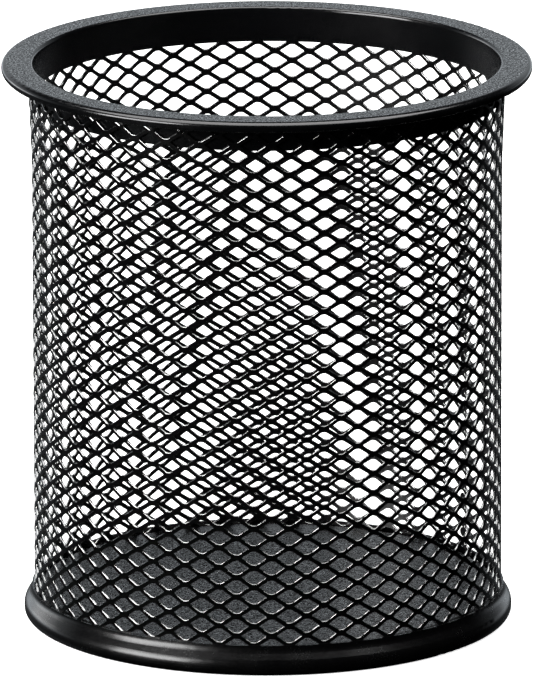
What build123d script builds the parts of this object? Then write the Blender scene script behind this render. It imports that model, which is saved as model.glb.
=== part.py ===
"""Wire-mesh pen holder cup: a tube of expanded metal between a pressed rim and a pressed base.

Millimetres, +Z up. The origin is on the cup's axis, in the plane that the cup stands on.
The rim and the base are sheet steel, so each is one sheet line, thickened and turned about
the axis. The mesh strip is rolled into a tube, with one end lapped inside the other.
"""
from build123d import *
from math import degrees
import os

# ---- driving dimensions -------------------------------------------------------------------
cup_height = 97.5            # ground to the top of the rim's flange
rim_radius = 45.4            # outside of the rim's hemmed edge
mesh_radius = 40.3           # outside of the mesh tube
mesh_top_radius = 40.65      # the same where the tube is stretched over the rim's collar
mesh_thickness = 0.4         # expanded metal, pressed flat
weld_gap = 0.1               # height of a weld nugget, between two pieces
end_gap = 0.3                # between an end of the mesh and the sheet past it

rim_sheet = 0.35             # sheet thickness of the rim
hem_height = 1.9             # height of the rim's folded outer edge
hem_return = 1.6             # how far the hem comes back under the flange
hem_bend = 0.9               # outside bend radius of the hem
collar_bend = 0.7            # outside bend radius between the flange and the collar
collar_height = 6.1          # flange top to the collar's lower edge

base_sheet = 0.35            # sheet thickness of the base
floor_height = 4.65          # ground to the top of the floor disc
floor_bend = 1.2             # outside bend radius at the floor's edge
foot_radius = 42.05          # outside of the foot at its widest
curl_inner_bend = 0.6        # inside bend radii of the curl that the cup stands on
curl_outer_bend = 0.8
bead_height = 2.15           # height at which the foot's outer skin turns inwards
bead_bend = 2.1              # inside bend radius of that turn
cove_height = 4.3            # height at which the skin turns upright again
cove_bend = 2.8              # inside bend radius of that turn
lip_height = 5.12            # ground to the edge of the lip round the mesh
lip_clearance = 0.05         # between the mesh and the lip

stretch_bottom = 80.0        # the mesh tube widens between these two heights
stretch_top = 90.5
stretch_bend = 20.0          # bend radius at both ends of that

seam_direction = 28.0        # degrees from +X to the outer end of the mesh strip
lap_width = 5.0              # how far the strip's inner end runs past its outer end
joggle_start = 3.0           # distance before the outer end where the strip steps inwards
joggle_run = 2.0             # length of that step

weld_radius = 0.8
ring_weld_count = 16         # nuggets round the rim, and round the base
seam_weld_count = 12         # nuggets up the lap

# ---- derived dimensions -------------------------------------------------------------------
mesh_inner_radius = mesh_radius - mesh_thickness
mesh_top_inner_radius = mesh_top_radius - mesh_thickness
collar_radius = mesh_top_inner_radius - weld_gap   # outside of the rim's collar
skirt_radius = mesh_inner_radius - weld_gap        # outside of the base's skirt
collar_bottom = cup_height - collar_height
mesh_top = cup_height - collar_bend                # the bend inside the rim starts here
mesh_bottom = base_sheet + curl_inner_bend + end_gap
lap_bottom = floor_height + end_gap
lap_top = collar_bottom - end_gap


def degrees_along(length, radius):
    """Angle that an arc of this length covers at this radius."""
    return degrees(length / radius)


def upright_plane(angle):
    """Plane through the axis of the cup: its x points outwards in this direction, its y up."""
    outwards = Vector(1, 0).rotate(Axis.Z, seam_direction + angle)
    return Plane(origin=(0, 0, 0), x_dir=outwards, z_dir=outwards.rotate(Axis.Z, -90))


# ---- rim: flange, hemmed outer edge, and the collar inside the mesh -------------------------
with BuildPart() as rim_ring:
    with BuildSketch(Plane.XZ):
        with BuildLine():
            FilletPolyline(
                (collar_radius - rim_sheet, collar_bottom),
                (collar_radius - rim_sheet, cup_height),
                (rim_radius, cup_height),
                (rim_radius, cup_height - hem_height),
                (rim_radius - hem_return, cup_height - hem_height),
                radius=[collar_bend, hem_bend, hem_bend],
            )
            offset(amount=rim_sheet, side=Side.LEFT)
        make_face()
    revolve(axis=Axis.Z)

# ---- base: floor, skirt inside the mesh, curl to stand on, then bead and cove up to the lip -
skin_radius = foot_radius - base_sheet
lip_radius = mesh_radius + lip_clearance

with BuildPart() as base_pan:
    with BuildSketch(Plane.XZ):
        with BuildLine():
            FilletPolyline(
                (0, floor_height),
                (skirt_radius, floor_height),
                (skirt_radius, base_sheet),
                (skin_radius, base_sheet),
                (skin_radius, bead_height),
                (lip_radius, cove_height),
                (lip_radius, lip_height),
                radius=[floor_bend, curl_inner_bend, curl_outer_bend, bead_bend, cove_bend],
            )
            offset(amount=base_sheet, side=Side.RIGHT)
        make_face()
    revolve(axis=Axis.Z)

# ---- mesh: one strip rolled into a tube, its inner end stepped in behind its outer end ------
lap_inset = mesh_thickness + weld_gap
step_from = 360 - degrees_along(joggle_start, mesh_radius)
step_to = step_from + degrees_along(joggle_run, mesh_radius)
lap_end = 360 + degrees_along(lap_width, mesh_radius)


def strip_section(inset):
    """Section of the strip over the height of the lap, as seen along the strip."""
    with BuildSketch() as section:
        with BuildLine():
            FilletPolyline(
                (mesh_radius - inset, lap_bottom),
                (mesh_radius - inset, stretch_bottom),
                (mesh_top_radius - inset, stretch_top),
                (mesh_top_radius - inset, lap_top),
                radius=stretch_bend,
            )
            offset(amount=mesh_thickness, side=Side.LEFT)
        make_face()
    return section.sketch.face()


with BuildPart() as mesh_sleeve:
    # the tube, a step inwards, and the lap behind the tube
    revolve(upright_plane(0) * strip_section(0), axis=Axis.Z, revolution_arc=step_from)
    loft([upright_plane(step_from) * strip_section(0), upright_plane(step_to) * strip_section(lap_inset)])
    revolve(
        upright_plane(step_to) * strip_section(lap_inset),
        axis=Axis.Z,
        revolution_arc=lap_end - step_to,
    )
    # past the lap the strip runs on, below to the curl and above to the flange
    for radius, low, high in (
        (mesh_radius, mesh_bottom, lap_bottom),
        (mesh_top_radius, lap_top, mesh_top),
    ):
        with BuildSketch(Plane.XY.offset(low)):
            Circle(radius)
            Circle(radius - mesh_thickness, mode=Mode.SUBTRACT)
        extrude(amount=high - low)

# ---- weld nuggets: short discs that fill the gap between two pieces -------------------------
def nuggets(directions, heights, radius):
    """Discs across the gap inside this radius, with faces that follow the pieces beside them."""
    with BuildPart() as group:
        with BuildSketch(Plane.XY.offset(mesh_bottom)):
            Circle(radius)
            Circle(radius - weld_gap, mode=Mode.SUBTRACT)
        extrude(amount=mesh_top - mesh_bottom)
        planes = [
            Plane(origin=(0, 0, height), x_dir=(0, 0, 1), z_dir=Vector(1, 0).rotate(Axis.Z, angle))
            for height in heights
            for angle in directions
        ]
        with BuildSketch(*planes):
            Circle(weld_radius)
        extrude(amount=mesh_radius, mode=Mode.INTERSECT)
    return group


round_the_cup = [seam_direction + 360 / ring_weld_count * (i + 0.5) for i in range(ring_weld_count)]
lap_middle = seam_direction + degrees_along(lap_width / 2, mesh_radius)
lap_pitch = (stretch_bottom - lap_bottom) / seam_weld_count
up_the_lap = [lap_bottom + lap_pitch * (i + 0.5) for i in range(seam_weld_count)]

collar_middle = (collar_bottom + mesh_top) / 2
skirt_middle = (mesh_bottom + floor_height - floor_bend) / 2

rim_spot_welds = nuggets(round_the_cup, [collar_middle], mesh_top_inner_radius)
base_spot_welds = nuggets(round_the_cup, [skirt_middle], mesh_inner_radius)
seam_spot_welds = nuggets([lap_middle], up_the_lap, mesh_inner_radius)

# ---- write each piece ----------------------------------------------------------------------
pieces = {
    "rim_ring": rim_ring,
    "base_pan": base_pan,
    "mesh_sleeve": mesh_sleeve,
    "rim_spot_welds": rim_spot_welds,
    "base_spot_welds": base_spot_welds,
    "seam_spot_welds": seam_spot_welds,
}
os.makedirs("parts", exist_ok=True)
for name, piece in pieces.items():
    piece.part.label = name
    export_step(piece.part, f"parts/{name}.step")
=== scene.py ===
"""Looks of the wire-mesh pen holder cup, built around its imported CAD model.

Metres, +Z up, in the frame of the CAD model. The pressed rim, the pressed base and the weld
nuggets are the CAD pieces with a powder-coat material. The plain tube of the CAD model gives
way to the real expanded metal: one strip of slit and stretched sheet, rolled up and lapped.
"""
import bpy
import random
from math import cos, pi, radians, sin
from mathutils import Matrix, Vector


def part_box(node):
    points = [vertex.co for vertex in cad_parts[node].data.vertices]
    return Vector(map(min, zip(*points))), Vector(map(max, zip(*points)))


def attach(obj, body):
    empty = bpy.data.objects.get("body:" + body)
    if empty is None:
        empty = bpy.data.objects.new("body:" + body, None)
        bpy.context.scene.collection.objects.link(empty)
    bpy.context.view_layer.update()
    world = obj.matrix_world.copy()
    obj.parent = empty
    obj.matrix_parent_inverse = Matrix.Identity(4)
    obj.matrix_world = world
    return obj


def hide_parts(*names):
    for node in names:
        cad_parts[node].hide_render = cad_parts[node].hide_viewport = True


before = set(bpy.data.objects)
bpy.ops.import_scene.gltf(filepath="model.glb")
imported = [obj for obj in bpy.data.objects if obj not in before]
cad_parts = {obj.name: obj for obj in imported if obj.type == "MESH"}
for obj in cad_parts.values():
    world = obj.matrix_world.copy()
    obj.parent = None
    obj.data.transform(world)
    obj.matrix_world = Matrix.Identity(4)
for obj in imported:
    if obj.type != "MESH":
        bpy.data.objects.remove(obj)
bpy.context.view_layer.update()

MM = 0.001

# ---- the strip of expanded metal, in millimetres unless a name says otherwise ---------------
SLEEVE_LOW, SLEEVE_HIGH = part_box("mesh_sleeve")
SLEEVE_BOTTOM, SLEEVE_TOP = SLEEVE_LOW.z / MM, SLEEVE_HIGH.z / MM
SLEEVE_RADIUS = 40.3                        # outside of the tube
TOP_STRETCH = SLEEVE_HIGH.x / MM - SLEEVE_RADIUS    # how much wider it is over the collar
STRETCH_FROM, STRETCH_TO = 78.0, 91.0       # heights between which it widens
COLUMNS = 43                                # diamonds along the strip, one more than a turn
COLUMN_ANGLE = 360 / 42                     # degrees that one diamond covers
HALF_ROW = 1.7125                           # half the height of a diamond
FIRST_ROW_HEIGHT = 4.987                    # height of row 0 at the front of the cup
SPARE_ROWS = 2                              # extra rows tried at the bottom and at the top
ROW_TILT = 0.5                              # how far the rows drop from front to back, halved
ROW_TILT_SIDE = 0.15                        # the same from right to left
TIGHT_ANGLE = 1.4                           # degrees that the roll gains where it is drawn tight
TIGHT_FROM, TIGHT_OVER = 14.8, 6.6          # column where that begins, and columns it takes
SEAM_DIRECTION = 28.0                       # degrees from +X to the strip's outer end
STEP_FROM, STEP_TO = 355.7, 358.6           # degrees along the strip where it steps inwards
STEP_DEPTH = 0.63                           # how deep that step is
LAP_LOW, LAP_HIGH = 4.95, 91.1              # the lap ends below the collar, above the floor
LAP_FADE = 2.0                              # height over which the step runs out there

# ---- one diamond opening, and the raised strands round it -----------------------------------
TIP = 2.12                                  # half its width, where its straight sides would meet
TIP_RADIUS = 0.11                           # rounding of its left and right tips
TIP_SHARE = 0.45                            # how far round a tip's arc a quarter has its vertex
HALF_HEIGHT = 1.13                          # half its height
SIDE_SLOPE = radians(32.7)                  # its straight sides, from level
CORNER_RADIUS = 0.8                         # between a side and the flat at the top or bottom
CORNER_SHARES = (0.9, 0.25)                 # how far round that arc its vertices are, from its top
STRAND_THICKNESS = 0.5                      # from the front of a strand to its back
HALF_WALL = STRAND_THICKNESS / 2
STRAND_TURN = radians(4)                    # the strands are turned, with their upper edge out
STRAND_LEAN = 0.04                          # how far the upper edge stands out for that
EDGE_ROUNDING = 0.15                        # how far the broad sides stop short of the cut edge
PRESSED = 0.2                               # what is left of the turn where the strip is welded
PRESSED_SHIFT = 0.1                         # and how far the strip then stands out
RAISED_FROM, RAISED_TO = 4.6, 90.2          # the strands are pressed below and above this
PRESS_FADE = 1.0                            # height over which they go from pressed to raised
SEAM_PRESS = 5.0                            # degrees past each side of the lap
WOBBLE = 0.02                               # how unevenly the sheet was slit and stretched
random.seed(7)


def smooth_step(x):
    """0 below 0, 1 above 1, and a smooth rise between."""
    x = min(max(x, 0.0), 1.0)
    return x * x * (3 - 2 * x)


def roll(column):
    """Degrees from the strip's outer end to this column of diamonds."""
    return column * COLUMN_ANGLE - TIGHT_ANGLE * smooth_step((column - TIGHT_FROM) / TIGHT_OVER)


LAP_ANGLE = roll(COLUMNS) - 360


def on_sleeve(column, row, depth=0.0, across=0.0, rise=0.0):
    """Point of the rolled strip, and the directions outwards, along and up the turned strands.

    Depth is outwards through the strand, across is the place up the strand, from -1 at its lower
    edge to 1 at its upper edge, and rise is upwards.
    """
    along = roll(column)
    turn = radians(SEAM_DIRECTION + along)
    height = FIRST_ROW_HEIGHT + HALF_ROW * row + rise
    height += ROW_TILT_SIDE * cos(turn) - ROW_TILT * (1 + sin(turn))
    off_lap = min(along - LAP_ANGLE, 360 - along)
    raised = smooth_step((height - RAISED_FROM) / PRESS_FADE)
    raised *= smooth_step((RAISED_TO - height) / PRESS_FADE)
    raised *= smooth_step(off_lap / SEAM_PRESS)
    raised = PRESSED + (1 - PRESSED) * raised
    inwards = STEP_DEPTH * smooth_step((along - STEP_FROM) / (STEP_TO - STEP_FROM))
    inwards *= smooth_step((height - LAP_LOW) / LAP_FADE)
    inwards *= smooth_step((LAP_HIGH - height) / LAP_FADE)

    lean = STRAND_TURN * raised
    reach = STRAND_LEAN + HALF_WALL * cos(STRAND_TURN)
    radius = SLEEVE_RADIUS - reach - inwards + PRESSED_SHIFT * (1 - raised)
    radius += TOP_STRETCH * smooth_step((height - STRETCH_FROM) / (STRETCH_TO - STRETCH_FROM))
    radius += depth * cos(lean) + across * STRAND_LEAN * raised
    height -= depth * sin(lean)
    outwards = Vector((cos(turn), sin(turn), 0))
    out = outwards * cos(lean) - Vector((0, 0, sin(lean)))
    up = outwards * sin(lean) + Vector((0, 0, cos(lean)))
    sideways = Vector((-sin(turn), cos(turn), 0))
    return (outwards * radius + Vector((0, 0, height))) * MM, out, sideways, up


def quarter_outline():
    """Upper right quarter of an opening, from its tip to its top: (x, y, normal x, normal y)."""
    tip_x = TIP - TIP_RADIUS / sin(SIDE_SLOPE)
    tip_turn = (pi / 2 - SIDE_SLOPE) * TIP_SHARE
    run = CORNER_RADIUS * (1 - cos(SIDE_SLOPE)) / sin(SIDE_SLOPE)
    corner_x = TIP - HALF_HEIGHT * cos(SIDE_SLOPE) / sin(SIDE_SLOPE) - run
    corner_y = HALF_HEIGHT - CORNER_RADIUS
    points = [(
        tip_x + TIP_RADIUS * cos(tip_turn),
        TIP_RADIUS * sin(tip_turn),
        cos(tip_turn),
        sin(tip_turn),
    )]
    for share in CORNER_SHARES:
        lean = SIDE_SLOPE * share
        points.append((
            corner_x + CORNER_RADIUS * sin(lean),
            corner_y + CORNER_RADIUS * cos(lean),
            sin(lean),
            cos(lean),
        ))
    return points


# Quarter n runs anticlockwise from corner n to corner n + 1: the right tip is corner 0, the top
# is 1, the left tip is 2 and the bottom is 3.
UPPER_RIGHT = quarter_outline()
UPPER_LEFT = [(-x, y, -nx, ny) for x, y, nx, ny in reversed(UPPER_RIGHT)]
LOWER_LEFT = [(-x, -y, -nx, -ny) for x, y, nx, ny in UPPER_RIGHT]
LOWER_RIGHT = [(x, -y, nx, -ny) for x, y, nx, ny in reversed(UPPER_RIGHT)]
QUARTERS = (UPPER_RIGHT, UPPER_LEFT, LOWER_LEFT, LOWER_RIGHT)
QUARTER_POINTS = len(UPPER_RIGHT)
ALL_QUARTERS = (0, 1, 2, 3)
END_QUARTERS = {0: (3, 0), COLUMNS: (1, 2)}  # the strip's two ends cut an opening in half
CUT_POINTS = {1: (0.0, HALF_HEIGHT, 0.0, 1.0), 3: (0.0, -HALF_HEIGHT, 0.0, -1.0)}
RINGS = (                                   # side of the strand, how far back from its edge
    (1, EDGE_ROUNDING),
    (0, 0.0),
    (-1, EDGE_ROUNDING),
)
COLUMN_WIDTH = radians(COLUMN_ANGLE) * (SLEEVE_RADIUS - STRAND_LEAN)
BROAD_SIDE, CUT_EDGE = 0, 1                 # the two coats of the strip


class Strip:
    """Vertices and faces of the strip, cell by cell. A cell is one opening and its half strands."""

    def __init__(self):
        self.vertices = []
        self.normals = []
        self.faces = []
        self.coats = []                     # which of the two coats each face has
        self.nodes = {}                     # by place: the vertices in the middle of each bond
        self.sides = {}                     # by its two bonds: each strand, None once it is whole

    def add(self, point, normal):
        self.vertices.append(point)
        self.normals.append(normal)
        return len(self.vertices) - 1

    def face(self, corners, coat):
        self.faces.append(corners)
        self.coats.append(coat)

    def node(self, column, row):
        """The front and back vertex in the middle of a bond between four strands."""
        key = (round(2 * column), row)
        if key not in self.nodes:
            shift = random.uniform(-WOBBLE, WOBBLE)
            pair = []
            for side in (1, -1):
                point, out, _, _ = on_sleeve(column, row, side * HALF_WALL, rise=shift)
                pair.append(self.add(point, out * side))
            self.nodes[key] = tuple(pair)
        return self.nodes[key]

    def ring(self, column, row, outline, slide, lift):
        """The opening's edge at the front, in the middle and at the back of the strands."""
        rings = []
        for side, back in RINGS:
            ring = []
            for x, y, nx, ny in outline:
                point, out, sideways, up = on_sleeve(
                    column + (x + nx * back + slide) / COLUMN_WIDTH,
                    row,
                    side * HALF_WALL,
                    -y / HALF_HEIGHT,
                    y + ny * back + lift,
                )
                into = -(sideways * nx + up * ny)
                ring.append(self.add(point, out * side if side else into))
            rings.append(ring)
        return rings

    def cell(self, column, row, quarters=ALL_QUARTERS):
        """One opening, or some quarters of it, with half of each strand round it."""
        slide, lift = (random.uniform(-WOBBLE, WOBBLE) for _ in range(2))
        corners = [
            self.node(column + 0.5, row),
            self.node(column, row + 1),
            self.node(column - 0.5, row),
            self.node(column, row - 1),
        ]
        whole = quarters == ALL_QUARTERS
        outline = [point for q in quarters for point in QUARTERS[q]]
        if not whole:
            before, after = quarters[0], (quarters[-1] + 1) % len(QUARTERS)
            outline = [CUT_POINTS[before], *outline, CUT_POINTS[after]]
        rings = self.ring(column, row, outline, slide, lift)

        first = 0 if whole else 1
        last = len(outline) - 1
        for n, q in enumerate(quarters):
            start = first + QUARTER_POINTS * n
            self.strand(corners[q], corners[(q + 1) % len(QUARTERS)], rings, start)
            if n or whole:
                self.bond(corners[q], rings, start - 1, start)
        if not whole:
            self.bond(corners[before], rings, 0, 1)
            self.bond(corners[after], rings, last - 1, last)
            front, back = corners[before]
            self.face((front, rings[0][0], rings[1][0], rings[2][0], back), CUT_EDGE)
            front, back = corners[after]
            self.face((rings[0][last], front, back, rings[2][last], rings[1][last]), CUT_EDGE)

        steps = [(i, i + 1) for i in range(last)]
        if whole:
            steps.append((last, 0))
        for outer, inner in zip(rings, rings[1:]):
            for i, j in steps:
                self.face((outer[i], outer[j], inner[j], inner[i]), CUT_EDGE)

    def both_faces(self, corners, rings, indices):
        """A triangle on the front of the strand, and its twin on the back."""
        for side, ring in ((0, rings[0]), (1, rings[-1])):
            triangle = [corner[side] for corner in corners] + [ring[i] for i in indices]
            self.face(triangle if side == 0 else triangle[::-1], BROAD_SIDE)

    def strand(self, start, end, rings, i):
        """Half of one strand, between the bonds at its ends."""
        self.both_faces((start, end), rings, (i + 1,))
        self.both_faces((start,), rings, (i + 1, i))
        self.both_faces((end,), rings, (i + 2, i + 1))
        key = frozenset((start, end))
        self.sides[key] = None if key in self.sides else (start, end)

    def bond(self, corner, rings, i, j):
        """The piece of a bond beside a tip, or beside the flat top or bottom, of an opening."""
        self.both_faces((corner,), rings, (j, i))

    def close(self):
        """Walls along every strand that has no cell on its other side."""
        for pair in self.sides.values():
            if pair:
                start, end = pair
                self.face((end[0], start[0], start[1], end[1]), CUT_EDGE)


def fits(column, row):
    """Whether the sleeve has a whole cell here."""
    low, high = (on_sleeve(column, row + step)[0].z / MM for step in (-1, 1))
    if low < SLEEVE_BOTTOM or high > SLEEVE_TOP:
        return False
    in_lap = roll(column + 0.5) > 360
    return not in_lap or (low > LAP_LOW + LAP_FADE and high < LAP_HIGH - LAP_FADE)


def expanded_metal(broad_coat, edge_coat):
    """The whole strip as one mesh object, with one coat on its broad sides and one on its edges."""
    strip = Strip()
    highest_row = int((SLEEVE_TOP - FIRST_ROW_HEIGHT) / HALF_ROW)
    for row in range(-SPARE_ROWS, highest_row + SPARE_ROWS):
        first = 0.5 if row % 2 == 0 else 0
        for i in range(COLUMNS if first else COLUMNS + 1):
            if fits(first + i, row):
                strip.cell(first + i, row, END_QUARTERS.get(first + i, ALL_QUARTERS))
    strip.close()
    mesh = bpy.data.meshes.new("expanded_mesh_sleeve")
    mesh.from_pydata(strip.vertices, [], strip.faces)
    mesh.polygons.foreach_set("use_smooth", [True] * len(mesh.polygons))
    mesh.normals_split_custom_set_from_vertices(strip.normals)
    for coat in (broad_coat, edge_coat):
        mesh.materials.append(coat)
    mesh.polygons.foreach_set("material_index", strip.coats)
    piece = bpy.data.objects.new("expanded_mesh_sleeve", mesh)
    bpy.context.scene.collection.objects.link(piece)
    return piece


# ---- materials ------------------------------------------------------------------------------
_, RIM_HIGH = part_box("rim_ring")
RIM_TOP = RIM_HIGH.z
COLLAR_BEND, HEM_BEND = 0.7 * MM, 0.9 * MM  # outside bend radii of the rim
COLLAR_FULLNESS, HEM_FULLNESS = 0.6, 1.35   # how full the coat makes those bends, 1 being round
FLAT_FROM = 40.5 * MM                       # radii between which the rim's flange is flat
FLAT_TO = RIM_HIGH.x - HEM_BEND
SAME_FROM, SAME_TO = 0.6, 0.8               # how well two normals agree, as their dot product
LEVEL_FROM, LEVEL_TO = 0.99, 0.999          # upward part of the normal of a level face

RIM_BLACK = (0.0012, 0.0013, 0.0015)
BASE_BLACK = (0.0008, 0.0008, 0.0009)
MESH_BLACK = (0.0012, 0.0012, 0.0013)
MOTTLE = 2                                  # the coat's light spots are this many times brighter
SHEET_GRAIN, MESH_GRAIN = 0.33 * MM, 0.2 * MM    # size of the coat's grain
GRAIN_TILT = 0.02                           # how far the grain turns the surface
LEVEL_GRAIN_TILT = 0.75                     # the same on the level faces of the pressed sheets
BROAD_SIZE = 6 * MM                         # size of the patches of uneven gloss
GLOSS_CHANGE = 0.03                         # how much the roughness varies, either way
WAVINESS = 0.02 * MM                        # height of the same patches
NOISE_LOW, NOISE_HIGH = 0.3, 0.7            # nearly all of a noise texture lies between these
NOISE_MIDDLE = (0.5, 0.5, 0.5)
PAINT_IOR, MESH_IOR = 1.52, 1.5
EDGE_IOR = 3.4                              # the strands' cut edges shine more than their sides


class Nodes:
    """Shorthand for adding nodes to a material or a world, already linked up."""

    def __init__(self, owner):
        owner.use_nodes = True
        self.tree = owner.node_tree
        self.nodes = owner.node_tree.nodes

    def fill(self, socket, value):
        """Sets a socket to a constant, or links it to another node's output."""
        if isinstance(value, bpy.types.NodeSocket):
            self.tree.links.new(value, socket)
        else:
            socket.default_value = value

    def math(self, operation, a, b):
        node = self.nodes.new("ShaderNodeMath")
        node.operation = operation
        self.fill(node.inputs[0], a)
        self.fill(node.inputs[1], b)
        return node.outputs["Value"]

    def vector_math(self, operation, a, b=None, output="Vector"):
        node = self.nodes.new("ShaderNodeVectorMath")
        node.operation = operation
        self.fill(node.inputs[0], a)
        if b is not None:
            self.fill(node.inputs[1], b)
        return node.outputs[output]

    def fade(self, value, low, high, at_low=0.0, at_high=1.0, kind="LINEAR"):
        """At_low below low, at_high above high, and a rise between them."""
        node = self.nodes.new("ShaderNodeMapRange")
        node.interpolation_type = kind
        for name, number in (
            ("Value", value),
            ("From Min", low),
            ("From Max", high),
            ("To Min", at_low),
            ("To Max", at_high),
        ):
            self.fill(node.inputs[name], number)
        return node.outputs["Result"]

    def mix(self, kind, factor, a, b):
        """A where the factor is 0, b where it is 1. Kind is FLOAT, VECTOR or RGBA."""
        node = self.nodes.new("ShaderNodeMix")
        node.data_type = kind
        sockets = [socket for socket in node.inputs if socket.enabled]
        for socket, value in zip(sockets, (factor, a, b)):
            self.fill(socket, value)
        return next(socket for socket in node.outputs if socket.enabled)

    def part(self, vector, axis):
        """One of a vector's three parts: X, Y or Z."""
        node = self.nodes.new("ShaderNodeSeparateXYZ")
        self.fill(node.inputs["Vector"], vector)
        return node.outputs[axis]


def rim_normal(graph, place, geometry):
    """Normal of the rim's upper side, worked out from its bends rather than from its facets."""
    flat_place = graph.vector_math("MULTIPLY", place, (1, 1, 0))
    radius = graph.vector_math("LENGTH", flat_place, output="Value")
    past_hem = graph.math("MAXIMUM", graph.math("SUBTRACT", radius, FLAT_TO), 0.0)
    past_collar = graph.math("MINIMUM", graph.math("SUBTRACT", radius, FLAT_FROM), 0.0)
    reach = graph.math("ADD", past_hem, past_collar)
    bend = graph.fade(radius, FLAT_FROM, FLAT_TO, COLLAR_BEND, HEM_BEND)
    lift = graph.math("ADD", graph.math("SUBTRACT", graph.part(place, "Z"), RIM_TOP), bend)
    sideways = graph.vector_math("MULTIPLY", graph.vector_math("NORMALIZE", flat_place), reach)
    fullness = graph.fade(radius, FLAT_FROM, FLAT_TO, COLLAR_FULLNESS, HEM_FULLNESS)
    lift = graph.math("MULTIPLY", graph.math("MAXIMUM", lift, 0.0), fullness)
    upwards = graph.vector_math("MULTIPLY", lift, (0, 0, 1))
    round_normal = graph.vector_math("NORMALIZE", graph.vector_math("ADD", sideways, upwards))

    # faces that look the other way, such as the underside, keep their own normal
    true_normal = geometry.outputs["True Normal"]
    same = graph.vector_math("DOT_PRODUCT", round_normal, true_normal, output="Value")
    same = graph.fade(same, SAME_FROM, SAME_TO)
    return graph.mix("VECTOR", same, geometry.outputs["Normal"], round_normal)


def powder_coat(
    name, colour, roughness, grain_size, level_tilt=GRAIN_TILT, ior=PAINT_IOR, rim=False
):
    """Black powder coat on steel: orange-peel grain, uneven gloss, and a mottled colour.

    Level tilt is how far the grain turns the surface of level faces, where the coat of a pressed
    sheet is rough; it is smooth where the sheet is bent or stands upright.
    """
    material = bpy.data.materials.new(name)
    graph = Nodes(material)
    shader = graph.nodes["Principled BSDF"]
    shader.inputs["IOR"].default_value = ior
    place = graph.nodes.new("ShaderNodeTexCoord").outputs["Object"]
    geometry = graph.nodes.new("ShaderNodeNewGeometry")

    def noise(size):
        texture = graph.nodes.new("ShaderNodeTexNoise")
        texture.inputs["Scale"].default_value = 1 / size
        graph.fill(texture.inputs["Vector"], place)
        return texture

    fine, broad = noise(grain_size), noise(BROAD_SIZE)
    mottle = graph.fade(fine.outputs["Fac"], NOISE_LOW, NOISE_HIGH)
    dark, light = (*colour, 1), (*[MOTTLE * c for c in colour], 1)
    graph.fill(shader.inputs["Base Color"], graph.mix("RGBA", mottle, dark, light))

    gloss = graph.fade(mottle, 0, 1, -GLOSS_CHANGE, GLOSS_CHANGE)
    smoothest, roughest = roughness - GLOSS_CHANGE, roughness + GLOSS_CHANGE
    patches = graph.fade(broad.outputs["Fac"], NOISE_LOW, NOISE_HIGH, smoothest, roughest)
    graph.fill(shader.inputs["Roughness"], graph.math("ADD", gloss, patches))

    surface = rim_normal(graph, place, geometry) if rim else geometry.outputs["Normal"]
    level = graph.part(geometry.outputs["True Normal"], "Z")
    amount = graph.fade(level, LEVEL_FROM, LEVEL_TO, GRAIN_TILT, level_tilt)
    grains = graph.vector_math("SUBTRACT", fine.outputs["Color"], NOISE_MIDDLE)
    grains = graph.vector_math("MULTIPLY", grains, amount)
    grained = graph.vector_math("NORMALIZE", graph.vector_math("ADD", surface, grains))

    bump = graph.nodes.new("ShaderNodeBump")
    bump.inputs["Distance"].default_value = WAVINESS
    graph.fill(bump.inputs["Height"], broad.outputs["Fac"])
    graph.fill(bump.inputs["Normal"], grained)
    graph.fill(shader.inputs["Normal"], bump.outputs["Normal"])
    return material


def dress(piece, material):
    """Gives every face of a piece this material."""
    piece.data.materials.clear()
    piece.data.materials.append(material)


rim_coat = powder_coat(
    "rim_powder_coat", RIM_BLACK, 0.18, SHEET_GRAIN, level_tilt=LEVEL_GRAIN_TILT, rim=True
)
base_coat = powder_coat(
    "base_powder_coat", BASE_BLACK, 0.23, SHEET_GRAIN, level_tilt=LEVEL_GRAIN_TILT
)
mesh_coat = powder_coat("mesh_powder_coat", MESH_BLACK, 0.2, MESH_GRAIN, ior=MESH_IOR)
mesh_edge_coat = powder_coat("mesh_edge_coat", MESH_BLACK, 0.12, MESH_GRAIN, ior=EDGE_IOR)

dress(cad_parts["rim_ring"], rim_coat)
dress(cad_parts["base_pan"], base_coat)
for weld in ("rim_spot_welds", "base_spot_welds", "seam_spot_welds"):
    dress(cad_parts[weld], mesh_coat)

sleeve = expanded_metal(mesh_coat, mesh_edge_coat)
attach(sleeve, "root")
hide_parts("mesh_sleeve")

# ---- floor ----------------------------------------------------------------------------------
FLOOR_RADIUS = 30.0
FLOOR_SIDES = 96
FLOOR_COLOUR = (0.8, 0.8, 0.8, 1)
FLOOR_GLOW = 0.85
WHITE = (1, 1, 1, 1)


def pale_floor():
    """A wide pale disc, so wide that its edge is far off in every view."""
    turns = [2 * pi * i / FLOOR_SIDES for i in range(FLOOR_SIDES)]
    edge = [(FLOOR_RADIUS * cos(turn), FLOOR_RADIUS * sin(turn), 0) for turn in turns]
    mesh = bpy.data.meshes.new("floor")
    mesh.from_pydata(edge, [], [tuple(range(FLOOR_SIDES))])
    floor = bpy.data.objects.new("floor", mesh)
    bpy.context.scene.collection.objects.link(floor)
    material = bpy.data.materials.new("pale_floor")
    shader = Nodes(material).nodes["Principled BSDF"]
    shader.inputs["Base Color"].default_value = FLOOR_COLOUR
    shader.inputs["Roughness"].default_value = 1.0
    shader.inputs["Specular IOR Level"].default_value = 0.0
    shader.inputs["Emission Color"].default_value = WHITE
    shader.inputs["Emission Strength"].default_value = FLOOR_GLOW
    mesh.materials.append(material)
    floor.visible_glossy = False
    floor.visible_diffuse = False


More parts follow.
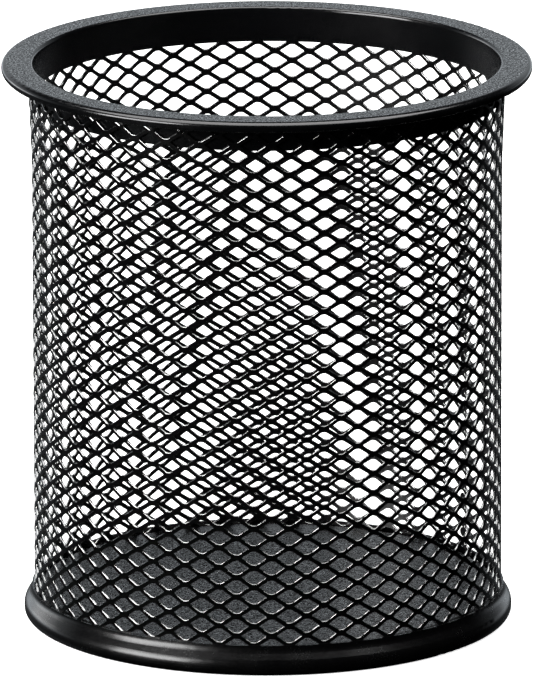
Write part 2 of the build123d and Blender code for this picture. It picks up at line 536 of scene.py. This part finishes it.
# ---- light ----------------------------------------------------------------------------------
SMOOTH = "SMOOTHSTEP"
BACKDROP_AIM = (-0.22, 0.97, 0.0)           # direction of the backdrop's middle
BACKDROP_EDGE = (0.3, 0.9, 0.003, 1.0)      # how it fades in towards there: from, to, strengths
BACKDROP_BANDS = (                          # how it changes with height: from, to, strengths
    (-0.16, 0.0, 0.05, 1.0),
    (0.02, 0.15, 3.0, 1.0),
    (0.16, 0.31, 0.42, 0.61),
    (0.3, 0.5, 1.0, 0.005),
)
SEEN_STRENGTH = 1.05                        # of the plain white that the camera itself sees
COOL_WHITE = (0.93, 1.0, 1.06, 1)
CUP_MIDDLE = Vector((0, 0, RIM_TOP / 2))
SOFTBOX_DISTANCE = 1.2


def studio_surroundings():
    """A low white backdrop behind the cup, all else dark; the camera itself sees plain white."""
    world = bpy.data.worlds.new("studio")
    bpy.context.scene.world = world
    graph = Nodes(world)
    background = graph.nodes["Background"]
    direction = graph.nodes.new("ShaderNodeTexCoord").outputs["Generated"]
    aim = graph.vector_math("DOT_PRODUCT", direction, BACKDROP_AIM, output="Value")
    height = graph.part(direction, "Z")

    backdrop = graph.fade(aim, *BACKDROP_EDGE, SMOOTH)
    for band in BACKDROP_BANDS:
        backdrop = graph.math("MULTIPLY", backdrop, graph.fade(height, *band, SMOOTH))

    seen = graph.nodes.new("ShaderNodeLightPath").outputs["Is Camera Ray"]
    strength = graph.mix("FLOAT", seen, backdrop, SEEN_STRENGTH)
    graph.fill(background.inputs["Strength"], strength)
    graph.fill(background.inputs["Color"], graph.mix("RGBA", seen, COOL_WHITE, WHITE))


def softbox(name, azimuth, elevation, width, height, power):
    """An area light aimed at the middle of the cup. Azimuth 0 is the camera's side, 90 is +X."""
    a, e = radians(azimuth), radians(elevation)
    away = Vector((sin(a) * cos(e), -cos(a) * cos(e), sin(e)))
    light = bpy.data.lights.new(name, "AREA")
    light.shape = "RECTANGLE"
    light.size = width
    light.size_y = height
    light.energy = power
    lamp = bpy.data.objects.new(name, light)
    lamp.location = CUP_MIDDLE + away * SOFTBOX_DISTANCE
    lamp.rotation_euler = away.to_track_quat("Z", "Y").to_euler()
    lamp.visible_camera = False
    bpy.context.scene.collection.objects.link(lamp)


pale_floor()
studio_surroundings()
softbox("left_softbox", azimuth=-57, elevation=15, width=0.8, height=0.55, power=17)
softbox("left_rear_softbox", azimuth=-131, elevation=5, width=0.5, height=0.3, power=0.8)
softbox("overhead_softbox", azimuth=0, elevation=88, width=2.1, height=1.25, power=44)

# ---- camera: in front of the cup, looking a little down on it --------------------------------
VIEW_ELEVATION = radians(14.66)
VIEW_DISTANCE = 2.2
VIEW_ROLL = radians(-0.127)
LENS = 681.0                                # millimetres, for the sensor's width
SENSOR_WIDTH = 36
CLIP_NEAR, CLIP_FAR = 0.1, 100
AIM = Vector((-0.00015, 0, 0.04837))

lens = bpy.data.cameras.new("camera")
lens.lens = LENS
lens.sensor_width = SENSOR_WIDTH
lens.clip_start = CLIP_NEAR
lens.clip_end = CLIP_FAR
camera = bpy.data.objects.new("camera", lens)
back = Vector((0, -cos(VIEW_ELEVATION), sin(VIEW_ELEVATION)))
camera.location = AIM + back * VIEW_DISTANCE
look = back.to_track_quat("Z", "Y").to_matrix().to_4x4()
camera.rotation_euler = (look @ Matrix.Rotation(VIEW_ROLL, 4, "Z")).to_euler()
bpy.context.scene.collection.objects.link(camera)
bpy.context.scene.camera = camera
bpy.context.scene.view_settings.view_transform = "Standard"
